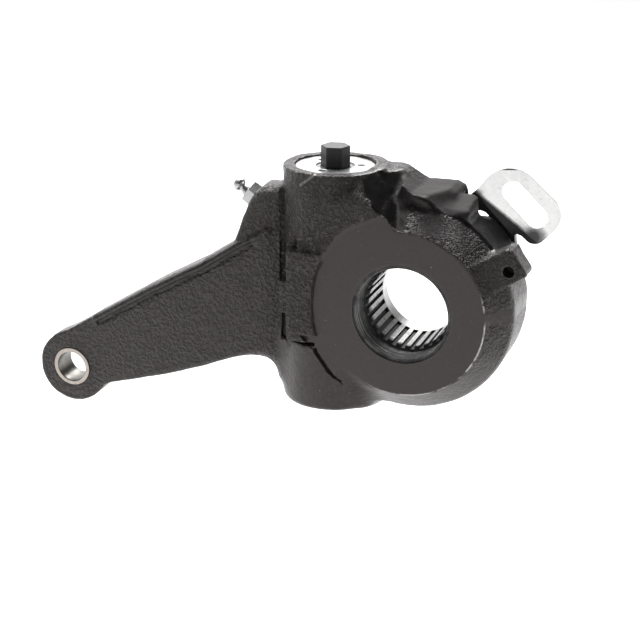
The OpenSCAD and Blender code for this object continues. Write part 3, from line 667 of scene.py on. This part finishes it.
def broken_edges(n, width, segments=2, keep=None, angle=28.0):
    """A copy of a node with its sharp edges rounded by that width in millimetres."""
    me = NODES[n].data.copy()
    ob = bpy.data.objects.new(n + "_detail", me)
    scene.collection.objects.link(ob)
    bm = bmesh.new()
    bm.from_mesh(me)
    bmesh.ops.remove_doubles(bm, verts=bm.verts, dist=2e-6)
    bmesh.ops.dissolve_limit(bm, angle_limit=math.radians(0.6), verts=bm.verts, edges=bm.edges)
    lim = math.radians(angle)
    pick = [e for e in bm.edges if e.is_manifold and e.calc_face_angle(0.0) > lim and (keep is None or all(keep(v.co * 1000) for v in e.verts))]
    bmesh.ops.bevel(bm, geom=pick, offset=width * MM, offset_type="OFFSET", segments=segments, profile=0.5, affect="EDGES", clamp_overlap=True)
    bm.to_mesh(me)
    bm.free()
    shade(ob, 50)
    wn = ob.modifiers.new("flat_faces", "WEIGHTED_NORMAL")
    wn.keep_sharp = True
    wn.weight = 80
    finish_piece(ob, n, SLOT[n])
    return ob


plate = broken_edges("control_arm", 0.85, 3)
# The sheet's side faces, picked by their normals, painted darker as shade.
side_face_shade = plate.data.attributes.new("side_face_shade", "FLOAT", "FACE")
for poly in plate.data.polygons:
    side_face_shade.data[poly.index].value = 1.0 if abs(poly.normal.y) < 0.35 else 0.0
broken_edges("top_cover", 0.35, 2)
broken_edges("clevis_bush", 0.5, 2)
broken_edges("worm_shaft", 0.45, 2, keep=lambda p: p.z > 57.5)
broken_edges("rear_cover", 0.4, 2)
broken_edges("grease_nipple", 0.15, 2)
broken_edges("bottom_plug", 0.4, 2)
broken_edges("control_rivets", 0.3, 2)
broken_edges("cover_screws", 0.25, 2)
broken_edges("rack_plug", 0.3, 2)

used = set()
for o in bpy.data.objects:
    for n in o.get("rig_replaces", []):
        used.add(n)
for n, ob in NODES.items():
    if n not in used:
        ob.data.materials.clear()
        ob.data.materials.append(OWN.get(n, MAT[SLOT[n]]))

# ---------------------------------------------------------------- stage, lights and camera
bm = bmesh.new()
bmesh.ops.create_grid(bm, x_segments=1, y_segments=1, size=12.0)
floor_me = bpy.data.meshes.new("floor")
bm.to_mesh(floor_me)
bm.free()
floor = bpy.data.objects.new("floor", floor_me)
scene.collection.objects.link(floor)
floor.location = (0, 0, -0.15)
fm, ft, fb, fco = new_mat("floor")
ft.links.new(mixc(ft, noise(ft, fco, 3.0, 2.0), (0.90, 0.90, 0.90), (0.93, 0.93, 0.93)), fb.inputs["Base Color"])
fb.inputs["Roughness"].default_value = 0.7
floor_me.materials.append(fm)

world = bpy.data.worlds.new("studio")
scene.world = world
world.use_nodes = True
wt = world.node_tree
wdir = node(wt, "ShaderNodeSeparateXYZ", {0: wt.nodes.new("ShaderNodeTexCoord").outputs["Generated"]}).outputs
front = span(wt, wdir[1], 0.25, -0.20)
top = math_(wt, "ADD", math_(wt, "MULTIPLY", wdir[0], -0.05), math_(wt, "ADD", math_(wt, "MULTIPLY", wdir[1], -0.33), math_(wt, "MULTIPLY", wdir[2], 0.943)))
high = math_(wt, "MULTIPLY", span(wt, wdir[2], 0.08, 0.28), span(wt, top, 0.975, 0.94))
side = math_(wt, "MULTIPLY", math_(wt, "MULTIPLY", span(wt, wdir[0], 0.04, 0.28), span(wt, wdir[2], 0.05, 0.20)), span(wt, top, 0.975, 0.94))
dim = math_(wt, "MAXIMUM", math_(wt, "MULTIPLY", front, high), side)
back = mixc(wt, front, (1.7, 1.7, 1.7), (1.3, 1.3, 1.3))
wt.links.new(mixc(wt, dim, back, (0.06, 0.06, 0.06)), wt.nodes["Background"].inputs["Color"])
wt.nodes["Background"].inputs["Strength"].default_value = 1.0


def area(name, loc, target, size, power):
    li = bpy.data.lights.new(name, "AREA")
    li.shape = "RECTANGLE"
    li.size, li.size_y = size
    li.energy = power
    ob = bpy.data.objects.new(name, li)
    scene.collection.objects.link(ob)
    ob.location = loc
    ob.rotation_euler = (Vector(target) - Vector(loc)).to_track_quat("-Z", "Y").to_euler()
    return ob


area("overhead", (-0.35, 0.85, 1.25), (-0.1, 0.1, -0.15), (1.3, 1.0), 47.0)

A, E, R = (math.radians(v) for v in (20.0, 20.2, 0.3))
dist, tx, ty, f_px = 603.0, 33.6, 2.0, 1450.0
c = Vector((math.sin(A) * math.cos(E), -math.cos(A) * math.cos(E), math.sin(E)))
r0 = Vector((math.cos(A), math.sin(A), 0))
u0 = r0.cross(-c)
r2 = math.cos(R) * r0 + math.sin(R) * u0
u2 = -math.sin(R) * r0 + math.cos(R) * u0
eye = -tx * r2 - ty * u2 + dist * c - Vector((0, 18, 0))
cam_data = bpy.data.cameras.new("camera")
cam_data.sensor_width = 36.0
cam_data.sensor_fit = "HORIZONTAL"
cam_data.lens = f_px * 36.0 / 640.0
cam_data.clip_start, cam_data.clip_end = 0.01, 100.0
cam = bpy.data.objects.new("camera", cam_data)
scene.collection.objects.link(cam)
M = Matrix(((r2.x, u2.x, c.x), (r2.y, u2.y, c.y), (r2.z, u2.z, c.z))).to_4x4()
M.translation = eye * MM
cam.matrix_world = M
scene.camera = cam
scene.view_settings.view_transform = "Standard"
scene.view_settings.look = "None"

bpy.context.view_layer.update()
